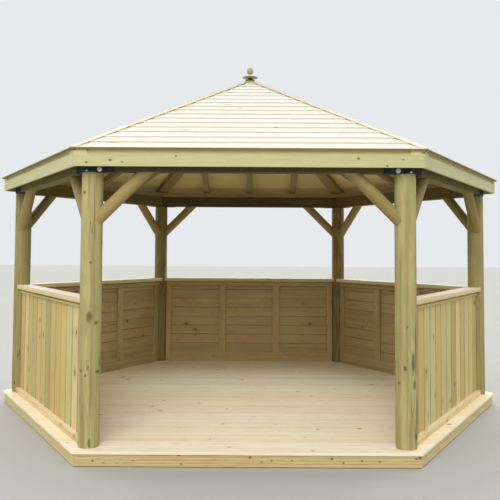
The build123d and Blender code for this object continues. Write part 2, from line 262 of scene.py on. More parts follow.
def linear(red, green, blue):
    """A colour given in picture values from 0 to 255, as the light values that shaders use."""
    shares = [value / 255.0 for value in (red, green, blue)]
    return tuple(s / 12.92 if s <= 0.04045 else ((s + 0.055) / 1.055) ** 2.4 for s in shares) + (1.0,)


def turn(side):
    """Carries what is laid out on side 0 to another side."""
    return Matrix.Rotation(2 * HALF_TURN * side, 4, "Z")


def axes(along, across, through, origin):
    """The place of a board from the directions of its length, width and thickness."""
    matrix = Matrix((along, across, through)).transposed().to_4x4()
    matrix.translation = Vector(origin)
    return matrix


# Node trees

class Tree:
    """Short names for wiring a node tree. An input is another node's output or a plain value."""

    def __init__(self, tree):
        self.tree = tree

    def node(self, kind, inputs=None, **settings):
        made = self.tree.nodes.new(kind)
        for key, value in settings.items():
            setattr(made, key, value)
        for key, value in (inputs or {}).items():
            self.feed(made.inputs[key], value)
        return made

    def feed(self, socket, value):
        if isinstance(value, bpy.types.NodeSocket):
            self.tree.links.new(value, socket)
        else:
            socket.default_value = value

    def math(self, operation, *values):
        made = self.node("ShaderNodeMath", operation=operation)
        for index, value in enumerate(values):
            self.feed(made.inputs[index], value)
        return made.outputs[0]

    def vector(self, operation, *values):
        made = self.node("ShaderNodeVectorMath", operation=operation)
        for index, value in enumerate(values):
            self.feed(made.inputs["Scale" if operation == "SCALE" and index == 1 else index], value)
        return made.outputs["Value" if operation in ("LENGTH", "DOT_PRODUCT") else "Vector"]

    def noise(self, point, detail=2.0, roughness=0.5):
        inputs = {"Vector": point, "Scale": 1.0, "Detail": detail, "Roughness": roughness}
        return self.node("ShaderNodeTexNoise", inputs, noise_dimensions="3D")

    def between(self, value, low, high):
        """0 where value is at low, 1 where it is at high, smooth in between."""
        inputs = {"Value": value, "From Min": low, "From Max": high, "To Min": 0.0, "To Max": 1.0}
        made = self.node("ShaderNodeMapRange", inputs, interpolation_type="SMOOTHSTEP")
        return made.outputs["Result"]

    def mix(self, share, first, second, blend="MIX"):
        made = self.node("ShaderNodeMix", data_type="RGBA", blend_type=blend, clamp_factor=True)
        self.feed(made.inputs[0], share)
        self.feed(made.inputs[6], first)
        self.feed(made.inputs[7], second)
        return made.outputs[2]

    def ramp(self, value, stops):
        made = self.node("ShaderNodeValToRGB", {"Fac": value})
        ramp = made.color_ramp
        while len(ramp.elements) < len(stops):
            ramp.elements.new(1.0)
        for element, (place, colour) in zip(ramp.elements, stops):
            element.position = place
            element.color = colour
        return made.outputs["Color"]

    def point(self):
        """The shaded point in the frame's axes."""
        return self.node("ShaderNodeTexCoord").outputs["Object"]

    def rise(self, vector):
        """The upward part of a vector."""
        return self.node("ShaderNodeSeparateXYZ", {"Vector": vector}).outputs["Z"]

    def grey(self, value):
        inputs = {"Red": value, "Green": value, "Blue": value}
        return self.node("ShaderNodeCombineColor", inputs).outputs[0]

    def bump(self, surface, height, strength, distance):
        made = self.node("ShaderNodeBump", {"Height": height, "Strength": strength, "Distance": distance})
        self.feed(surface.inputs["Normal"], made.outputs["Normal"])


FIGURE_INPUTS = {"Ring": 0.0045, "Knots": 0.35, "Checks": 0.5}
FIGURE_OUTPUTS = ["Ring", "Fibre", "Streak", "Tinge", "Knot", "Halo", "Check"]
KNOT_CELL = (0.30, 0.085, 0.085)


def knots_of(t, grain, amount):
    """Knots and their halos: one scattered point to a cell, of which only some carry a branch."""
    cell = t.vector("DIVIDE", grain, KNOT_CELL)
    points = t.node("ShaderNodeTexVoronoi", {"Vector": cell, "Scale": 1.0}, voronoi_dimensions="3D")
    away = t.vector("MULTIPLY", t.vector("SUBTRACT", cell, points.outputs["Position"]), KNOT_CELL)
    ragged = t.noise(t.vector("MULTIPLY", grain, (60.0, 110.0, 110.0)), 2.0).outputs["Fac"]
    reach = t.vector("LENGTH", t.vector("MULTIPLY", away, (0.62, 1.0, 1.0)))
    reach = t.math("ADD", reach, t.math("MULTIPLY", t.math("SUBTRACT", ragged, 0.5), 0.006))
    lots = t.node("ShaderNodeSeparateColor", {"Color": points.outputs["Color"]}).outputs
    there = t.math("LESS_THAN", lots["Red"], amount)
    size = t.math("MULTIPLY_ADD", lots["Green"], 0.011, 0.005)
    share = t.math("DIVIDE", reach, size)
    knot = t.math("MULTIPLY", there, t.between(share, 1.0, 0.72))
    halo = t.math("MULTIPLY", there, t.between(share, 3.2, 0.9))
    return knot, halo


def rings_of(t, grain, halo, width):
    """The late wood of rings round a pith that wanders, pushed aside by the knots."""
    wander = t.noise(t.vector("MULTIPLY", grain, (0.9, 2.0, 2.0)), 1.0).outputs["Color"]
    shift = t.vector("MULTIPLY", t.vector("SUBTRACT", wander, (0.5, 0.5, 0.5)), (0.0, 0.05, 0.05))
    ripple = t.noise(t.vector("MULTIPLY", grain, (5.0, 45.0, 45.0)), 2.0).outputs["Fac"]
    centred = t.vector("ADD", t.vector("MULTIPLY", grain, (0.0, 1.0, 1.0)), shift)
    radius = t.vector("LENGTH", centred)
    radius = t.math("ADD", radius, t.math("MULTIPLY", halo, 0.007))
    radius = t.math("ADD", radius, t.math("MULTIPLY", ripple, 0.004))
    phase = t.math("FRACT", t.math("DIVIDE", radius, width))
    return t.math("MULTIPLY", t.between(phase, 0.35, 0.88), t.between(phase, 1.0, 0.93))


def checks_of(t, grain, amount):
    """Hair cracks along the grain, only here and there."""
    crack = t.noise(t.vector("MULTIPLY", grain, (1.3, 34.0, 34.0)), 1.0).outputs["Fac"]
    narrow = t.between(t.math("ABSOLUTE", t.math("SUBTRACT", crack, 0.5)), 0.011, 0.003)
    where = t.noise(t.vector("MULTIPLY", grain, (3.1, 9.0, 9.0)), 1.0).outputs["Fac"]
    return t.math("MULTIPLY", t.math("MULTIPLY", narrow, t.between(where, 0.56, 0.64)), amount)


def timber_figure():
    """Growth rings, fibres, knots and drying checks of sawn pine, from each board's own axes."""
    group = bpy.data.node_groups.new("timber_figure", "ShaderNodeTree")
    for name, value in FIGURE_INPUTS.items():
        socket = group.interface.new_socket(name, in_out="INPUT", socket_type="NodeSocketFloat")
        socket.default_value = value
    for name in FIGURE_OUTPUTS:
        group.interface.new_socket(name, in_out="OUTPUT", socket_type="NodeSocketFloat")
    t = Tree(group)
    given = t.node("NodeGroupInput").outputs
    out = t.node("NodeGroupOutput").inputs
    grain = t.node("ShaderNodeAttribute", attribute_name="grain").outputs["Vector"]
    knot, halo = knots_of(t, grain, given["Knots"])
    results = {
        "Ring": rings_of(t, grain, halo, given["Ring"]),
        "Fibre": t.noise(t.vector("MULTIPLY", grain, (7.0, 300.0, 300.0)), 3.0, 0.6).outputs["Fac"],
        "Streak": t.noise(t.vector("MULTIPLY", grain, (0.8, 26.0, 26.0)), 3.0, 0.55).outputs["Fac"],
        "Tinge": t.noise(t.vector("MULTIPLY", grain, (2.4, 11.0, 11.0)), 3.0, 0.6).outputs["Fac"],
        "Knot": knot,
        "Halo": halo,
        "Check": checks_of(t, grain, given["Checks"]),
    }
    for name, value in results.items():
        t.feed(out[name], value)
    return group


FIGURE = timber_figure()
KNOT_COLOUR = linear(98, 80, 44)
CHECK_COLOUR = linear(48, 36, 22)
# The colour of stains, and of painted shade in gaps
STAIN_AND_SHADE_COLOUR = linear(74, 66, 42)
# Painted shade on the roof boards' edge at the eaves
EAVES_SHADE = linear(124, 108, 66)
EAVES_SHADE_RISE = 0.002
BLACK = (0.0, 0.0, 0.0, 1.0)

# Knots, stains and painted shade that the photograph shows, as (place, half sizes)
POST_KNOTS = [
    ((-1.136, -1.954, 1.845), (0.02, 0.03, 0.016)),
    ((-1.081, -1.966, 1.362), (0.012, 0.02, 0.012)),
    ((-1.041, -1.947, 0.949), (0.016, 0.03, 0.02)),
    ((-1.029, -1.932, 0.618), (0.018, 0.03, 0.016)),
    ((-1.105, -1.966, 0.595), (0.012, 0.02, 0.014)),
    ((-1.140, -1.951, 0.623), (0.014, 0.03, 0.02)),
    ((1.070, -1.965, 0.655), (0.018, 0.03, 0.024)),
    ((1.085, -1.967, 0.933), (0.010, 0.02, 0.012)),
    ((1.033, -1.938, 0.553), (0.010, 0.03, 0.012)),
]
POST_STAINS = [
    ((1.126, -1.959, 0.69), (0.020, 0.04, 0.10)),
    ((1.137, -1.953, 0.545), (0.015, 0.04, 0.05)),
    ((-1.072, -1.964, 0.145), (0.014, 0.03, 0.04)),
    ((1.148, -1.942, 0.80), (0.012, 0.04, 0.26)),
    ((1.158, -1.927, 0.34), (0.014, 0.05, 0.20)),
    ((-1.086, -1.967, 0.989), (0.03, 0.03, 0.05)),
]
FASCIA_KNOTS = [
    ((-0.494, -2.059, 2.087), (0.011, 0.02, 0.009)),
    ((-0.940, -2.059, 2.057), (0.018, 0.02, 0.010)),
    ((-1.101, -2.059, 2.042), (0.014, 0.02, 0.010)),
    ((-1.097, -2.059, 2.124), (0.010, 0.02, 0.008)),
    ((-0.859, -2.059, 2.044), (0.012, 0.02, 0.006)),
    ((0.741, -2.059, 2.076), (0.014, 0.02, 0.010)),
    ((0.936, -2.059, 2.026), (0.012, 0.02, 0.009)),
    ((1.045, -2.059, 2.070), (0.010, 0.02, 0.008)),
]
# Painted shade: dark spots in the gaps at the fascia's two front corners
FASCIA_CORNER_SHADE = [
    ((-1.184, -2.055, 2.131), (0.024, 0.03, 0.012)),
    ((1.184, -2.055, 2.117), (0.024, 0.03, 0.012)),
]
BASE_KNOTS = [
    ((-1.033, -2.018, 0.040), (0.012, 0.02, 0.008)),
    ((-0.959, -2.018, 0.028), (0.009, 0.02, 0.006)),
    ((-0.869, -2.018, 0.028), (0.009, 0.02, 0.006)),
    ((-0.763, -2.018, 0.045), (0.009, 0.02, 0.006)),
    ((-0.456, -2.018, 0.081), (0.016, 0.02, 0.008)),
    ((-0.442, -2.018, 0.024), (0.010, 0.02, 0.007)),
    ((0.019, -2.018, 0.069), (0.013, 0.02, 0.013)),
    ((0.096, -2.018, 0.038), (0.012, 0.02, 0.006)),
    ((0.163, -2.018, 0.048), (0.012, 0.02, 0.009)),
    ((0.299, -2.018, 0.051), (0.011, 0.02, 0.007)),
    ((0.566, -2.018, 0.063), (0.015, 0.02, 0.012)),
    ((0.644, -2.018, 0.037), (0.010, 0.02, 0.009)),
    ((0.767, -2.018, 0.051), (0.011, 0.02, 0.009)),
    ((0.887, -2.018, 0.045), (0.011, 0.02, 0.008)),
    ((1.154, -2.018, 0.073), (0.016, 0.02, 0.016)),
]
MARK_STRENGTH = 0.88
STAIN_AND_SHADE_STRENGTH = 0.7
LEVEL_BLUR = 0.002


def new_material(name):
    """A material with its tree and its surface shader."""
    material = bpy.data.materials.new(name)
    material.use_nodes = True
    return material, Tree(material.node_tree), material.node_tree.nodes["Principled BSDF"]


def figure_in(t, knots, checks, ring=FIGURE_INPUTS["Ring"]):
    """What the timber's figure gives with these settings."""
    inputs = {"Ring": ring, "Knots": knots, "Checks": checks}
    return t.node("ShaderNodeGroup", inputs, node_tree=FIGURE).outputs


def shaded_by_fibre(t, colour, fibre):
    """The colour, lighter and darker along the fibres."""
    return t.mix(1.0, colour, t.grey(t.math("MULTIPLY_ADD", fibre, 0.30, 0.85)), "MULTIPLY")


def placed(t, marks):
    """Coverage of the marks given as (place, half sizes), such as a knot seen in the photograph."""
    point = t.point()
    ragged = t.noise(t.vector("SCALE", point, 55.0), 3.0).outputs["Fac"]
    total = 0.0
    for place, half in marks:
        away = t.vector("DIVIDE", t.vector("SUBTRACT", point, place), half)
        reach = t.math("MULTIPLY_ADD", ragged, 0.9, t.vector("LENGTH", away))
        total = t.math("MAXIMUM", total, t.between(reach, 1.45, 0.85))
    return total


def paled_by_sun_and_light(t, colour, lot, pale_top_colour, pale_from, shaded_below):
    """The colour paler on faces that look up, sun-bleached and painted light from above, and painted shade
    under a given height.
    """
    normal = t.node("ShaderNodeNewGeometry").outputs["Normal"]
    lot_pale = t.math("MULTIPLY_ADD", lot, 0.3, 0.65)
    pale_share = t.math("MULTIPLY", t.between(t.rise(normal), pale_from, pale_from + 0.4), lot_pale)
    # Painted shade under the given height: the roof boards' edge at the eaves
    if shaded_below:
        above = t.between(t.rise(t.point()), shaded_below, shaded_below + LEVEL_BLUR)
        pale_share = t.math("MULTIPLY", pale_share, above)
        colour = t.mix(above, EAVES_SHADE, colour)
    return t.mix(pale_share, colour, pale_top_colour)


def timber(name, tints, late, warm, green, knots=0.35, checks=0.4, depth=0.4, streaks=0.55, marks=(),
           stains_and_shade=(), pale_top_colour=None, pale_from=0.3, shaded_below=None, upper=None):
    """Pressure-treated pine. Each board takes its own tone between the tints given.

    Marks are knots, stains are dull patches and painted shade in gaps, and upper is (height, colour) above
    which that colour is painted light, for a strip in shade.
    """
    material, t, surface = new_material(name)
    found = figure_in(t, knots, checks)
    board = t.node("ShaderNodeAttribute", attribute_name="board").outputs["Color"]
    lots = t.node("ShaderNodeSeparateColor", {"Color": board}).outputs
    places = [index / (len(tints) - 1) for index in range(len(tints))]
    colour = t.ramp(lots["Red"], list(zip(places, tints)))
    # Painted light: a set colour above a height, for a strip that lies in shade
    if upper:
        colour = t.mix(t.between(t.rise(t.point()), upper[0] - LEVEL_BLUR, upper[0]), colour, upper[1])
    colour = t.mix(t.math("MULTIPLY", t.between(found["Streak"], 0.45, 0.72), streaks), colour, warm)
    lot_green = t.math("MULTIPLY_ADD", lots["Green"], 0.5, 0.15)
    colour = t.mix(t.math("MULTIPLY", t.between(found["Tinge"], 0.42, 0.68), lot_green), colour, green)
    # Faces that look up turn paler: sun-bleaching, and painted light from above
    if pale_top_colour:
        colour = paled_by_sun_and_light(t, colour, lots["Blue"], pale_top_colour, pale_from, shaded_below)
    colour = t.mix(t.math("MULTIPLY", found["Ring"], depth), colour, late)
    colour = shaded_by_fibre(t, colour, found["Fibre"])
    colour = t.mix(t.math("MULTIPLY", found["Halo"], 0.45), colour, late)
    colour = t.mix(t.math("MULTIPLY", found["Knot"], 0.85), colour, KNOT_COLOUR)
    colour = t.mix(found["Check"], colour, CHECK_COLOUR)
    if marks:
        colour = t.mix(t.math("MULTIPLY", placed(t, marks), MARK_STRENGTH), colour, KNOT_COLOUR)
    # Stain patches, and painted shade where the marks sit in gaps
    if stains_and_shade:
        colour = t.mix(t.math("MULTIPLY", placed(t, stains_and_shade), STAIN_AND_SHADE_STRENGTH), colour, STAIN_AND_SHADE_COLOUR)
    t.feed(surface.inputs["Base Color"], colour)
    t.feed(surface.inputs["Roughness"], t.math("MULTIPLY_ADD", found["Fibre"], 0.18, 0.53))
    surface.inputs["Specular IOR Level"].default_value = 0.32
    height = t.math("MULTIPLY_ADD", found["Ring"], 0.35, found["Fibre"])
    height = t.math("SUBTRACT", height, t.math("MULTIPLY", found["Check"], 2.5))
    height = t.math("MULTIPLY_ADD", found["Knot"], 0.5, height)
    t.bump(surface, height, 0.5, 0.0012)
    return material


def turned_timber(name):
    """The finial's timber: dark at the foot under the collar, painted shade; pale grey on the collar,
    painted light on its shaded underside; pale on the neck, weathered above.
    """
    dark = linear(84, 60, 36)
    grey = linear(196, 194, 182)
    neck = linear(226, 204, 170)
    ball = linear(172, 146, 114)
    crown = linear(180, 168, 150)
    stops = [
        (0.0, dark), (0.06, dark), (0.11, grey), (0.28, grey), (0.34, neck), (0.46, ball), (1.0, crown)
    ]
    material, t, surface = new_material(name)
    found = figure_in(t, 0.0, 0.2, 0.003)
    share = t.math("DIVIDE", t.math("SUBTRACT", t.rise(t.point()), FINIAL_FOOT), FINIAL_TOP - FINIAL_FOOT)
    colour = shaded_by_fibre(t, t.ramp(share, stops), found["Fibre"])
    colour = t.mix(t.math("MULTIPLY", found["Ring"], 0.2), colour, dark)
    t.feed(surface.inputs["Base Color"], colour)
    surface.inputs["Roughness"].default_value = 0.6
    surface.inputs["Specular IOR Level"].default_value = 0.3
    t.bump(surface, found["Fibre"], 0.3, 0.001)
    return material


def galvanised(name, tint, spangle, rough):
    """Hot-dipped plate: a crystal pattern, dull streaks and a slightly uneven skin."""
    material, t, surface = new_material(name)
    point = t.point()
    crystals = t.node("ShaderNodeTexVoronoi", {"Vector": point, "Scale": 90.0})
    tone = t.node("ShaderNodeSeparateColor", {"Color": crystals.outputs["Color"]}).outputs["Red"]
    cloud = t.noise(t.vector("SCALE", point, 14.0), 4.0).outputs["Fac"]
    colour = t.mix(t.math("MULTIPLY", tone, 0.45), tint, spangle)
    colour = t.mix(t.between(cloud, 0.45, 0.75), colour, t.mix(0.5, tint, BLACK))
    t.feed(surface.inputs["Base Color"], colour)
    t.feed(surface.inputs["Roughness"], t.math("MULTIPLY_ADD", cloud, 0.3, rough - 0.15))
    surface.inputs["Metallic"].default_value = 0.8
    t.bump(surface, tone, 0.15, 0.0004)
    return material


def matt(name, tint, second):
    """Plain studio floor, with a faint mottle."""
    material, t, surface = new_material(name)
    cloud = t.noise(t.vector("SCALE", t.point(), 0.6), 3.0).outputs["Fac"]
    t.feed(surface.inputs["Base Color"], t.mix(cloud, tint, second))
    surface.inputs["Roughness"].default_value = 0.9
    return material


def make_materials():
    """The finishes by slot. All the timber is one treated pine, seen new, weathered or shaded."""
    pale = linear(250, 246, 232)
    cream = linear(244, 236, 208)
    straw = linear(228, 208, 160)
    honey = linear(208, 182, 124)
    leaf = linear(196, 190, 134)
    amber = linear(234, 204, 136)
    late = linear(176, 140, 88)
    green = linear(186, 186, 130)
    bark = linear(186, 158, 112)
    shade = linear(112, 100, 50)
    deep_shade = linear(84, 72, 40)
    tan = linear(158, 140, 90)
    ash = linear(214, 213, 213)
    return {
        "deck_timber": timber(
            "deck_timber", [pale, cream, linear(242, 226, 200), pale], straw, linear(236, 214, 180), cream,
            0.75, 0.3, depth=0.65
        ),
        "frame_timber": timber(
            "frame_timber", [linear(142, 120, 70), linear(136, 126, 76)], tan, linear(150, 126, 82), tan
        ),
        "base_timber": timber(
            "base_timber", [linear(190, 168, 112), linear(208, 188, 138)], late, honey, leaf, 0.4, 0.2,
            marks=BASE_KNOTS
        ),
        "post_timber": timber(
            "post_timber", [linear(176, 168, 114), linear(158, 148, 92), linear(118, 102, 56)],
            tan, linear(136, 112, 68), linear(132, 134, 80), 0.16, 1.0,
            streaks=0.8, marks=POST_KNOTS, stains_and_shade=POST_STAINS
        ),
        # Dark tints: the beams' own dark timber, and painted shade under the eaves
        "beam_timber": timber(
            "beam_timber", [deep_shade, linear(72, 58, 36), shade, linear(118, 110, 46)], deep_shade, shade, deep_shade
        ),
        "brace_timber": timber(
            "brace_timber", [linear(134, 118, 66), linear(158, 134, 84), linear(142, 136, 80)],
            tan, linear(160, 134, 90), linear(140, 136, 86), 0.2, 0.6
        ),
        # Roof boards: paler where they look up, sun-bleached and painted light; painted shade on the eaves
        # edge
        "roof_timber": timber(
            "roof_timber", [amber, leaf, amber], late, honey, green, 0.12, 0.1, depth=0.2,
            pale_top_colour=ash, pale_from=-0.8, shaded_below=EAVES_BASE + EAVES_SHADE_RISE
        ),
        # Tints from pale to dark, given to the lengths from the eaves up to the peak: painted shade
        "hip_timber": timber(
            "hip_timber",
            [linear(240, 232, 208), linear(222, 212, 180), linear(200, 188, 152), linear(176, 164, 126)],
            bark, straw, leaf, 0.1, 0.2
        ),
        # Fascia: a set colour above the strip's foot, painted light on the recessed strip in the roof's
        # shade; painted shade in the gaps at the two front corners
        "fascia_timber": timber(
            "fascia_timber", [linear(178, 176, 128), linear(202, 198, 158)], late, leaf, green, 0.1, 0.1,
            depth=0.2, marks=FASCIA_KNOTS, stains_and_shade=FASCIA_CORNER_SHADE, upper=(STRIP_FOOT, linear(200, 188, 132))
        ),
        "finial_timber": turned_timber("finial_timber"),
        # Panel boards: tops paler, sun-bleached and painted light from above; the darkest tint also serves
        # the painted shade at the laps
        "panel_timber": timber(
            "panel_timber",
            [
                linear(126, 110, 62), linear(186, 162, 124), linear(154, 142, 102), linear(206, 174, 102),
                linear(184, 178, 106), linear(228, 208, 150), linear(168, 154, 84), linear(214, 186, 118),
                linear(198, 196, 134),
            ],
            late, honey, linear(178, 174, 104), 0.8, 0.4, depth=0.5, pale_top_colour=linear(236, 226, 196)
        ),
        # Cap rails: tops paler, sun-bleached and painted light from above
        "rail_timber": timber(
            "rail_timber", [linear(212, 194, 142), linear(198, 188, 130)], straw, honey, leaf, 0.3, 0.2,
            pale_top_colour=linear(238, 234, 222)
        ),
        # Galvanised plate with a dark tint: painted shade of the eaves
        "bracket_steel": galvanised("bracket_steel", linear(52, 54, 60), linear(78, 80, 86), 0.6),
        "bolt_steel": galvanised("bolt_steel", linear(226, 230, 238), linear(248, 250, 252), 0.45),
    }


MATERIALS = make_materials()


# Boards

class Stock:
    """Boards joined in one mesh. Each vertex keeps its place in its own board, for the grain."""

    def __init__(self):
        self.mesh = bmesh.new()
        self.grain = self.mesh.verts.layers.float_vector.new("grain")
        self.board = self.mesh.verts.layers.float_color.new("board")

    def add(self, part, place, pith=None, tone=None):
        """Adds a board laid out in its own axes: x along the grain, y across, z through it."""
        if pith is None:
            aside = chance.uniform(-PITH_ASIDE, PITH_ASIDE)
            pith = (aside, chance.choice((-1, 1)) * chance.uniform(*PITH_UNDER))
        start = Vector((chance.uniform(0.0, LOG_LENGTH), pith[0], pith[1]))
        lots = (chance.random(), chance.random(), chance.random(), 1.0)
        if tone is not None:
            lots = (tone, *lots[1:])
        made = {}
        for vertex in part.verts:
            copy = self.mesh.verts.new(place @ vertex.co)
            copy[self.grain] = vertex.co + start
            copy[self.board] = lots
            made[vertex] = copy
        for face in part.faces:
            copy = self.mesh.faces.new([made[vertex] for vertex in face.verts])
            copy.smooth = face.smooth
        part.free()

    def piece(self, name, slot, *nodes, material=None):
        """Makes the object, which stands for the nodes named."""
        mesh = bpy.data.meshes.new(name)
        self.mesh.to_mesh(mesh)
        self.mesh.free()
        mesh.materials.append(MATERIALS[material or slot])
        made = bpy.data.objects.new(name, mesh)
        bpy.context.scene.collection.objects.link(made)
        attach(made, "root")
        if nodes:
            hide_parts(*nodes)
        return made


def rectangle(width, thickness):
    """A board's end, as (across, through) points about its middle."""
    w = width / 2
    h = thickness / 2
    return [(-w, -h), (w, -h), (w, h), (-w, h)]


def close_tube(part, ends):
    """Joins two like rings of vertices by side faces and closes both ends."""
    part.faces.new(ends[0][::-1])
    part.faces.new(ends[1])
    count = len(ends[0])
    for i in range(count):
        j = (i + 1) % count
        part.faces.new((ends[0][i], ends[0][j], ends[1][j], ends[1][i]))


def prism(outline, length):
    """A straight board with this end outline, centred on its length."""
    part = bmesh.new()
    ends = [[part.verts.new((x, y, z)) for y, z in outline] for x in (-length / 2, length / 2)]
    close_tube(part, ends)
    bmesh.ops.recalc_face_normals(part, faces=part.faces)
    return part


def disc(part, radius, low, high, sides, start=0.0):
    """A short prism along z."""
    angles = [start + 2 * pi * i / sides for i in range(sides)]
    ends = [[part.verts.new((radius * cos(a), radius * sin(a), z)) for a in angles] for z in (low, high)]
    close_tube(part, ends)


def saw(part, point, normal):
    """Cuts off what lies on the normal's side of a plane and closes the end."""
    geometry = [*part.verts, *part.edges, *part.faces]
    cut = bmesh.ops.bisect_plane(
        part, geom=geometry, dist=CUT_TOLERANCE, plane_co=point, plane_no=normal, clear_outer=True
    )
    edges = [e for e in cut["geom_cut"] if isinstance(e, bmesh.types.BMEdge)]
    if edges:
        bmesh.ops.edgenet_fill(part, edges=edges)


def saw_in_place(part, place, point, normal):
    """The same with the plane given in the frame's axes."""
    back = place.inverted()
    saw(part, back @ Vector(point), back.to_3x3() @ Vector(normal))


def bevel(part, edges, radius):
    """Rounds these edges."""
    bmesh.ops.bevel(
        part, geom=edges, offset=radius, segments=2, profile=0.6, affect="EDGES", clamp_overlap=True
    )


def sharp_edges(part, angle):
    """The edges between two faces that turn by more than this angle."""
    return [e for e in part.edges if len(e.link_faces) == 2 and e.calc_face_angle() > angle]


def ease(part, radius):
    """Takes the sharpness off the edges."""
    bevel(part, sharp_edges(part, EASED_ANGLE), radius)


def islands(part):
    """The loose parts of a mesh, as lists of vertices."""
    part.verts.index_update()
    seen = set()
    found = []
    for first in part.verts:
        if first in seen:
            continue
        seen.add(first)
        group = [first]
        for vertex in group:
            for edge in vertex.link_edges:
                other = edge.other_vert(vertex)
                if other not in seen:
                    seen.add(other)
                    group.append(other)
        found.append(group)
    return found


def faces_of(group):
    """The faces of a loose part, each once and in the same order in every run."""
    return list(dict.fromkeys(face for vertex in group for face in vertex.link_faces))


def own_axes(faces):
    """The place of a loose part: x along its longest direction, z along its thinnest."""
    centres = np.array([face.calc_center_median() for face in faces])
    areas = np.array([face.calc_area() for face in faces])
    middle = (centres * areas[:, None]).sum(0) / areas.sum()
    spread = (centres - middle) * np.sqrt(areas)[:, None]
    values, vectors = np.linalg.eigh(spread.T @ spread)
    along = Vector(vectors[:, 2])
    across = Vector(vectors[:, 1])
    return axes(along, across, along.cross(across), middle)


def side_of(place):
    """The side of the hexagon that a place is nearest to."""
    return round(atan2(place.x, -place.y) / (2 * HALF_TURN)) % SIDES


def runs_along(edge):
    """Whether an edge is long and runs along its board."""
    direction = (edge.verts[1].co - edge.verts[0].co).normalized()
    return edge.calc_length() > LONG_EDGE and abs(direction.x) > LONG_EDGE_ALIGNED


def dress(node, slot, easing=0.0, pith=None, flat=FLAT, smooth=None, tones=None):
    """Rebuilds a node's solids as boards of their own, with grain, and stands for the node."""
    source = bmesh.new()
    source.from_mesh(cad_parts[node].data)
    bmesh.ops.remove_doubles(source, verts=source.verts, dist=WELD)
    bmesh.ops.dissolve_limit(source, angle_limit=flat, verts=source.verts, edges=source.edges)
    stock = Stock()
    for group in islands(source):
        faces = faces_of(group)
        place = own_axes(faces)
        back = place.inverted()
        part = bmesh.new()
        made = {vertex: part.verts.new(back @ vertex.co) for vertex in group}
        for face in faces:
            part.faces.new([made[vertex] for vertex in face.verts]).smooth = smooth is not None
        bmesh.ops.recalc_face_normals(part, faces=part.faces)
        if easing:
            bevel(part, [e for e in sharp_edges(part, LONG_EDGE_ANGLE) if runs_along(e)], easing)
        tone = tones[side_of(place.translation)] if tones else None
        stock.add(part, place, pith, tone)
    source.free()
    made = stock.piece(node + "_finish", slot, node)
    if smooth is not None:
        made.data.set_sharp_from_angle(angle=smooth)


# Deck

def build_deck():
    """Planks laid side to side and sawn to the hexagon."""
    count = round(2 * DECK_APOTHEM / DECK_PITCH)
    pitch = 2 * DECK_APOTHEM / count
    rows = [-DECK_APOTHEM + (index + 0.5) * pitch for index in range(count)]
    stock = Stock()
    for y in rows:
        part = prism(rectangle(pitch - DECK_GAP, DECK_THICKNESS), 2 * DECK_RADIUS + DECK_SPARE)
        place = axes(ALONG, INWARD, UP, (0, y, DECK_TOP - DECK_THICKNESS / 2))
        for side in (1, 2, 4, 5):
            outward = turn(side) @ Vector(OUT)
            saw_in_place(part, place, outward * DECK_APOTHEM, outward)
        ease(part, DECK_EASE)
        stock.add(part, place)
    stock.piece("deck_planks", "deck_timber", "deck_boards")
    build_screws(rows, pitch / 2 - SCREW_INSET)


def build_screws(rows, offset):
    """Two screws in each plank over every joist."""
    screws = Stock()
    for row in rows:
        for joist in range(-JOISTS_EACH_WAY, JOISTS_EACH_WAY + 1):
            x = joist * JOIST_SPACING
            for y in (row - offset, row + offset):
                if DECK_RADIUS - abs(x) - abs(y) / sqrt(3.0) < SCREW_EDGE:
                    continue
                part = bmesh.new()
                disc(part, SCREW_RADIUS, -SCREW_SUNK, SCREW_PROUD, SCREW_SIDES)
                screws.add(part, Matrix.Translation((x, y, DECK_TOP)))
    screws.piece("deck_screws", "bracket_steel", material="bolt_steel")


# Poles

def pole_columns(cracks, half):
    """The angles of a pole's columns of vertices, with three columns to each crack."""
    columns = [2 * pi * i / POLE_COLUMNS for i in range(POLE_COLUMNS)]
    for angle, _, _ in cracks:
        columns = [c for c in columns if abs((c - angle + pi) % (2 * pi) - pi) > CHECK_CLEAR * half]
        columns.extend([(angle + share * half) % (2 * pi) for share in (-1, 0, 1)])
    return sorted(columns)


def crack_depth(cracks, column, share, half):
    """How deep the cracks go at a column of the pole and a share of its length."""
    depth = 0.0
    for angle, start, reach in cracks:
        if abs(column - angle) < half * 0.5:
            along = min(abs(share - start), 1 - abs(share - start)) / reach
            depth += CHECK_DEPTH * max(0.0, 1 - along * 2) ** 0.5
    return depth


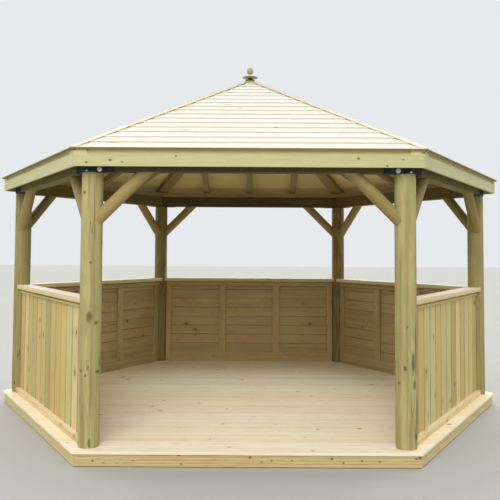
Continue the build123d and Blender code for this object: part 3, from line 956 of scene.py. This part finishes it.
def pole(stock, place, radius, length, tone):
    """A machine-rounded pole with a slightly uneven skin and real drying checks."""
    cracks = [
        (chance.uniform(0, 2 * pi), chance.uniform(0, 1), chance.uniform(*CHECK_REACH))
        for _ in range(POLE_CHECKS)
    ]
    waves = [
        (chance.uniform(2, 9), chance.randint(1, 4), chance.uniform(0, 2 * pi))
        for _ in range(POLE_WAVES)
    ]
    drift = chance.uniform(-POLE_DRIFT, POLE_DRIFT)
    half = CHECK_HALF_WIDTH / radius
    columns = pole_columns(cracks, half)
    rows = ceil(length / POLE_ROW)
    part = bmesh.new()
    grid = []
    for row in range(rows + 1):
        share = row / rows
        x = (share - 0.5) * length
        edge = POLE_END_EASE if row in (0, rows) else 0.0
        ring = []
        for column in columns:
            uneven = sum(sin(k * x + n * column + p) for k, n, p in waves) / len(waves)
            depth = POLE_UNEVEN * (1.0 + uneven) + crack_depth(cracks, column, share, half)
            r = radius - depth - edge
            wound = column + drift * x + POLE_WOUND * sin(POLE_WOUND_RATE * x + waves[0][2])
            ring.append(part.verts.new((x, r * cos(wound), r * sin(wound))))
        grid.append(ring)
    count = len(columns)
    for low, high in zip(grid, grid[1:]):
        for i in range(count):
            j = (i + 1) % count
            part.faces.new((low[i], high[i], high[j], low[j])).smooth = True
    part.faces.new(grid[0])
    part.faces.new(grid[-1][::-1])
    bmesh.ops.recalc_face_normals(part, faces=part.faces)
    pith = (chance.uniform(-POLE_PITH, POLE_PITH), chance.uniform(-POLE_PITH, POLE_PITH))
    stock.add(part, place, pith, tone)


def build_posts():
    """Six round posts that stand on the deck, the rear ones darker: painted shade."""
    length = POST_HEAD - POST_FOOT
    for k, name in enumerate(CORNER_NAMES):
        corner = turn(k) @ Vector((POST_HALF_SPAN, -POST_APOTHEM, (POST_FOOT + POST_HEAD) / 2))
        stock = Stock()
        pole(stock, axes(UP, ALONG, INWARD, corner), POST_RADIUS, length, POST_TONES[k])
        made = stock.piece("post_" + name + "_pole", "post_timber", "post_" + name)
        made.data.set_sharp_from_angle(angle=POLE_SHARP)


# Roof

def course_place(course):
    """The place of a course's boards on the front slope: y runs uphill, z out of the roof."""
    uphill = Vector((0, cos(SLOPE), sin(SLOPE)))
    outward = (0, -sin(SLOPE), cos(SLOPE))
    origin = Vector((0, -EAVES_APOTHEM, EAVES_BASE)) + uphill * (EXPOSURE * course)
    return axes(ALONG, uphill, outward, origin)


def hip_normal(hand):
    """The direction across the hip at one hand of the front slope, away from its middle."""
    return Vector((hand * cos(HALF_TURN), sin(HALF_TURN), 0))


def build_roof():
    """Seventeen tapered boards to a slope, thick edge down, mitred on the hips."""
    outline = [(0.0, -ROOF_BOARD), (EXPOSURE, -ROOF_BOARD), (EXPOSURE, 0.0), (0.0, COURSE_STEP)]
    for k, name in enumerate(SIDE_NAMES):
        stock = Stock()
        for course in range(COURSES):
            part = prism(outline, ROUGH_LENGTH)
            place = course_place(course)
            for hand in (-1, 1):
                normal = hip_normal(hand)
                saw_in_place(part, place, normal * -MITRE_GAP, normal)
            if course == COURSES - 1:
                saw_in_place(part, place, (0, -PEAK_GAP, 0), INWARD)
            ease(part, ROOF_EASE)
            stock.add(part, turn(k) @ place)
        stock.piece("roof_courses_" + name, "roof_timber", "roof_boards_" + name)


def build_hip_caps():
    """Two straight strips to a hip, in lengths laid end to end on the proud board edges."""
    low = COURSE_STEP + HIP_CAP_CLEAR
    high = low + HIP_CAP_THICKNESS
    outline = [(0.0, low), (EXPOSURE, low), (EXPOSURE, high), (0.0, high)]
    stock = Stock()
    for k in range(SIDES):
        for hand in (-1, 1):
            normal = hip_normal(hand)
            for course in range(COURSES):
                part = prism(outline, ROUGH_LENGTH)
                place = course_place(course)
                saw_in_place(part, place, normal * -MITRE_GAP / 2, normal)
                saw_in_place(part, place, normal * -HIP_CAP_WIDTH, -normal)
                if course == 0:
                    saw_in_place(part, place, (0, slope_low.y, 0), OUT)
                if course == COURSES - 1:
                    saw_in_place(part, place, (0, -HIP_CAP_PEAK_GAP, 0), INWARD)
                ease(part, HIP_CAP_EASE)
                # Lengths darken up towards the peak: painted shade
                stock.add(part, turn(k) @ place, tone=course / (COURSES - 1))
    stock.piece("hip_strips", "roof_timber", "hip_caps", material="hip_timber")


# Wall panels

def lying(x, out, z):
    """Place of a board that lies along side 0 with its face outwards."""
    return axes(ALONG, UP, OUT, (x, -out, z))


def standing(x, out, z):
    """Place of a board that stands upright on side 0 with its face outwards."""
    return axes(UP, (-1, 0, 0), OUT, (x, -out, z))


class Panel:
    """The boards of one wall panel, laid out on side 0 and turned to their own side."""

    def __init__(self, side):
        self.name = SIDE_NAMES[side]
        self.about = turn(side)
        self.hand = 1 if side <= SIDES / 2 else -1
        self.stock = Stock()

    def inner_tone(self):
        """A tone among the darker tints for the boards that face the room; the side panels take darker
        tones than the rear panel, painted shade.
        """
        low, high = REAR_INNER_TONES if self.name == "rear" else SIDE_INNER_SHADE_TONES
        return chance.uniform(low, high)

    def bar(self, place, length, width, depth, easing=PANEL_EASE, tone=None):
        """Adds a square-edged bar, in an inner tone where none is given."""
        part = prism(rectangle(width, depth), length)
        ease(part, easing)
        self.stock.add(part, self.about @ place, tone=self.inner_tone() if tone is None else tone)

    def add_sill(self):
        """A sill in two depths, the outer one paler."""
        sill_face = CLADDING_FACE + SILL_PROUD
        for near, far, tone in ((FRAME_INNER, FRAME_OUTER, None), (FRAME_OUTER, sill_face, SILL_TONE)):
            place = lying(0, (near + far) / 2, PANEL_BASE + SILL_HEIGHT / 2)
            self.bar(place, 2 * PANEL_HALF, SILL_HEIGHT, far - near, SILL_EASE, tone)

    def add_frame(self):
        """Two stiles and two rails."""
        for x in (-PANEL_HALF + STILE_WIDTH / 2, PANEL_HALF - STILE_WIDTH / 2):
            place = standing(x, FRAME_MIDDLE, (PANEL_TOP + SILL_TOP) / 2)
            self.bar(place, PANEL_TOP - SILL_TOP, STILE_WIDTH, FRAME_DEPTH)
        place = lying(0, FRAME_MIDDLE, PANEL_TOP - TOP_RAIL / 2)
        self.bar(place, BETWEEN_STILES, TOP_RAIL, FRAME_DEPTH)
        place = lying(0, FRAME_MIDDLE, (BOTTOM_RAIL_TOP + SILL_TOP) / 2)
        self.bar(place, BETWEEN_STILES, BOTTOM_RAIL_TOP - SILL_TOP, FRAME_DEPTH)

    def add_battens(self):
        """Two uprights on the face of the lining."""
        depth = LINING_RECESS - BACK_CLEAR
        for x in (-BATTEN_SPACING / 2, BATTEN_SPACING / 2):
            place = standing(x, FRAME_INNER + depth / 2, (LINING_TOP + BOTTOM_RAIL_TOP) / 2)
            self.bar(place, LINING_TOP - BOTTOM_RAIL_TOP - END_CLEAR, BATTEN_WIDTH, depth)

    def add_lining(self):
        """Lapped boards, each with its lower edge nearer the room, and a bar in the darkest tone at each
        lap, painted shade.
        """
        face = FRAME_OUTER - (FRAME_INNER + LINING_RECESS)
        lap_shade_depth = face - LINING_STEP - LAP_SUNK
        for index in range(LINING_BOARDS):
            low = BOTTOM_RAIL_TOP + index * LINING_PITCH
            reach = min(LINING_PITCH, LINING_TOP - low) - LAP_LINE
            outline = [(0.0, 0.0), (reach, 0.0), (reach, -face + LINING_STEP), (0.0, -face)]
            part = prism(outline, BETWEEN_STILES)
            ease(part, LINING_EASE)
            self.stock.add(part, self.about @ lying(0, FRAME_OUTER, low), tone=self.inner_tone())
            # Painted shade: a bar in the darkest tone in the gap at each lap
            if index < LINING_BOARDS - 1:
                lap_shade = prism(rectangle(LAP_LINE - LAP_CLEAR, lap_shade_depth), BETWEEN_STILES)
                place = lying(0, FRAME_OUTER - lap_shade_depth / 2, low + LINING_PITCH - LAP_LINE / 2)
                self.stock.add(lap_shade, self.about @ place, tone=0.0)

    def add_cladding(self):
        """Upright feather-edge boards: the thick edge of each laps the thin edge of the next, with a strip
        in the darkest tone along it, painted shade.
        """
        width = 2 * PANEL_HALF / CLADDING_BOARDS
        tones = CLADDING_TONES.get(self.name)
        if tones is None:
            tones = [chance.uniform(*ANY_CLADDING_TONE) for _ in range(CLADDING_BOARDS)]
        for index, tone in enumerate(tones):
            start = self.hand * (index * width - PANEL_HALF)
            place = standing(start, FRAME_OUTER, (PANEL_TOP + SILL_TOP) / 2)
            # The last strip of each board takes the darkest tone: painted shade at its thick edge
            bands = ((JOINT_LINE, width - SHADE_EDGE, tone), (width - SHADE_EDGE, width, 0.0))
            for near, far, shade in bands:
                outline = [(near, 0.0), (far, 0.0)]
                outline.extend((y, CLADDING + CLADDING_STEP * y / width) for y in (far, near))
                part = prism([(-self.hand * y, z) for y, z in outline], PANEL_TOP - SILL_TOP)
                self.stock.add(part, self.about @ place, tone=shade)

    def add_beads(self):
        """A bead across the head of the cladding, and a flat trim across the inner head."""
        bead_face = CLADDING_FACE + BEAD_PROUD
        place = lying(0, (FRAME_OUTER + bead_face) / 2, PANEL_TOP - BEAD_DROP - BEAD_HEIGHT / 2)
        tone = chance.uniform(*BEAD_TONES)
        self.bar(place, 2 * PANEL_HALF, BEAD_HEIGHT, bead_face - FRAME_OUTER, tone=tone)
        trim_middle = PANEL_TOP - INNER_BEAD_DROP - INNER_BEAD_HEIGHT / 2
        place = lying(0, FRAME_INNER - INNER_BEAD_PROUD / 2, trim_middle)
        self.bar(place, 2 * PANEL_HALF, INNER_BEAD_HEIGHT, INNER_BEAD_PROUD)


def build_panel(side):
    """Sill, frame, battens, lining, cladding and beads of one panel."""
    panel = Panel(side)
    panel.add_sill()
    panel.add_frame()
    panel.add_battens()
    panel.add_lining()
    panel.add_cladding()
    panel.add_beads()
    panel.stock.piece("panel_" + panel.name + "_boards", "panel_timber", "panel_" + panel.name)


# Bolts

def bolt_place(k, hand, out, up):
    """Place of a bolt on the face of a bracket arm, that far in from the post and up the plate."""
    x = hand * (POST_HALF_SPAN - out)
    return turn(k) @ axes(ALONG, UP, OUT, (x, bracket_low.y, bracket_low.z + up))


def build_bolts():
    """A large and a small coach bolt through one arm of each post-head bracket."""
    stock = Stock()
    for k in range(0, SIDES, 2):
        for hand in (-1, 1):
            large = bmesh.new()
            disc(large, WASHER_RADIUS, 0.0, WASHER_THICKNESS, WASHER_SIDES)
            top = WASHER_THICKNESS + BOLT_HEAD_HEIGHT
            disc(large, BOLT_HEAD, WASHER_THICKNESS, top, BOLT_SIDES, chance.random())
            ease(large, BOLT_EASE)
            stock.add(large, bolt_place(k, hand, BOLT_OUT, BOLT_UP))
            small = bmesh.new()
            disc(small, SMALL_BOLT * BOLT_HEAD, 0.0, SMALL_BOLT * BOLT_HEAD_HEIGHT, BOLT_SIDES)
            ease(small, SMALL_BOLT_EASE)
            stock.add(small, bolt_place(k, hand, CORNER_BOLT_OUT, CORNER_BOLT_UP))
    stock.piece("bracket_bolts", "bracket_steel", material="bolt_steel")


# Stage, lights and camera

def build_stage():
    """A plain pale floor."""
    mesh = bpy.data.meshes.new("floor")
    corners = [(x * FLOOR_REACH, y * FLOOR_REACH, 0) for x, y in ((-1, -1), (1, -1), (1, 1), (-1, 1))]
    mesh.from_pydata(corners, [], [(0, 1, 2, 3)])
    mesh.materials.append(matt("floor", linear(172, 172, 168), linear(176, 176, 173)))
    floor = bpy.data.objects.new("floor", mesh)
    bpy.context.scene.collection.objects.link(floor)


def build_surround():
    """A pale surround whose light comes from above the horizon, brighter behind the gazebo."""
    world = bpy.data.worlds.new("surround")
    world.use_nodes = True
    t = Tree(world.node_tree)
    direction = t.node("ShaderNodeTexCoord").outputs["Generated"]
    parts = t.node("ShaderNodeSeparateXYZ", {"Vector": direction}).outputs
    high = t.mix(t.between(parts["Z"], *OVERHEAD_RISE), SKY_HIGH, SKY_OVERHEAD)
    high = t.mix(t.between(parts["Y"], *BEHIND_SPAN), high, SKY_BEHIND)
    sky = t.mix(t.between(parts["Z"], *SKY_RISE), SKY_LOW, high)
    light = t.node("ShaderNodeBackground", {"Color": sky})
    backdrop = world.node_tree.nodes["Background"]
    backdrop.inputs["Color"].default_value = BACKDROP
    seen = t.node("ShaderNodeLightPath").outputs["Is Camera Ray"]
    both = t.node("ShaderNodeMixShader", {0: seen, 1: light.outputs[0], 2: backdrop.outputs[0]})
    t.feed(world.node_tree.nodes["World Output"].inputs["Surface"], both.outputs[0])
    bpy.context.scene.world = world


def build_key_light():
    """A large square softbox in front, pointed at the gazebo."""
    light = bpy.data.lights.new("front_box", "AREA")
    light.size = KEY_SIZE
    light.energy = KEY_POWER
    light.color = KEY_COLOUR
    made = bpy.data.objects.new("front_box", light)
    made.location = KEY_PLACE
    made.rotation_euler = (Vector(KEY_AIM) - Vector(KEY_PLACE)).to_track_quat("-Z", "Y").to_euler()
    bpy.context.scene.collection.objects.link(made)


def build_camera():
    """The photograph's camera."""
    yaw = CAMERA_YAW
    pitch = CAMERA_PITCH
    roll = CAMERA_ROLL
    level_right = Vector((cos(yaw), sin(yaw), 0))
    level_ahead = Vector((-sin(yaw), cos(yaw), 0))
    ahead = cos(pitch) * level_ahead + sin(pitch) * Vector(UP)
    level_up = -sin(pitch) * level_ahead + cos(pitch) * Vector(UP)
    right = cos(roll) * level_right + sin(roll) * level_up
    up = -sin(roll) * level_right + cos(roll) * level_up
    data = bpy.data.cameras.new("camera")
    data.sensor_width = SENSOR_WIDTH
    data.lens = FOCAL_PIXELS / PICTURE_WIDTH * SENSOR_WIDTH
    data.shift_y = (AXIS_ROW - PICTURE_WIDTH / 2) / PICTURE_WIDTH
    camera = bpy.data.objects.new("camera", data)
    camera.matrix_world = axes(right, up, -ahead, CAMERA_PLACE)
    bpy.context.scene.collection.objects.link(camera)
    bpy.context.scene.camera = camera


bpy.context.scene.view_settings.view_transform = "Standard"
build_camera()
build_stage()
build_surround()
build_key_light()
build_deck()
dress("base_frame", "frame_timber", TIMBER_EASE)
dress("base_fascia", "base_timber")
build_posts()
dress("ring_beam", "beam_timber", BEAM_EASE, tones=BEAM_TONES)
for corner in CORNER_NAMES:
    dress("braces_" + corner, "brace_timber", pith=BRACE_PITH, smooth=BRACE_SHARP)
dress("post_brackets", "bracket_steel", PLATE_EASE)
build_bolts()
build_roof()
for side_name in SIDE_NAMES:
    dress("roof_frame_" + side_name, "frame_timber", TIMBER_EASE)
dress("eaves_fascia", "fascia_timber", TIMBER_EASE)
build_hip_caps()
dress("finial", "finial_timber", pith=FINIAL_PITH, flat=FINIAL_FLAT, smooth=FINIAL_SHARP)
for panel_side in range(1, SIDES):
    build_panel(panel_side)
    dress("cap_rail_" + SIDE_NAMES[panel_side], "rail_timber", RAIL_EASE, smooth=RAIL_SHARP)
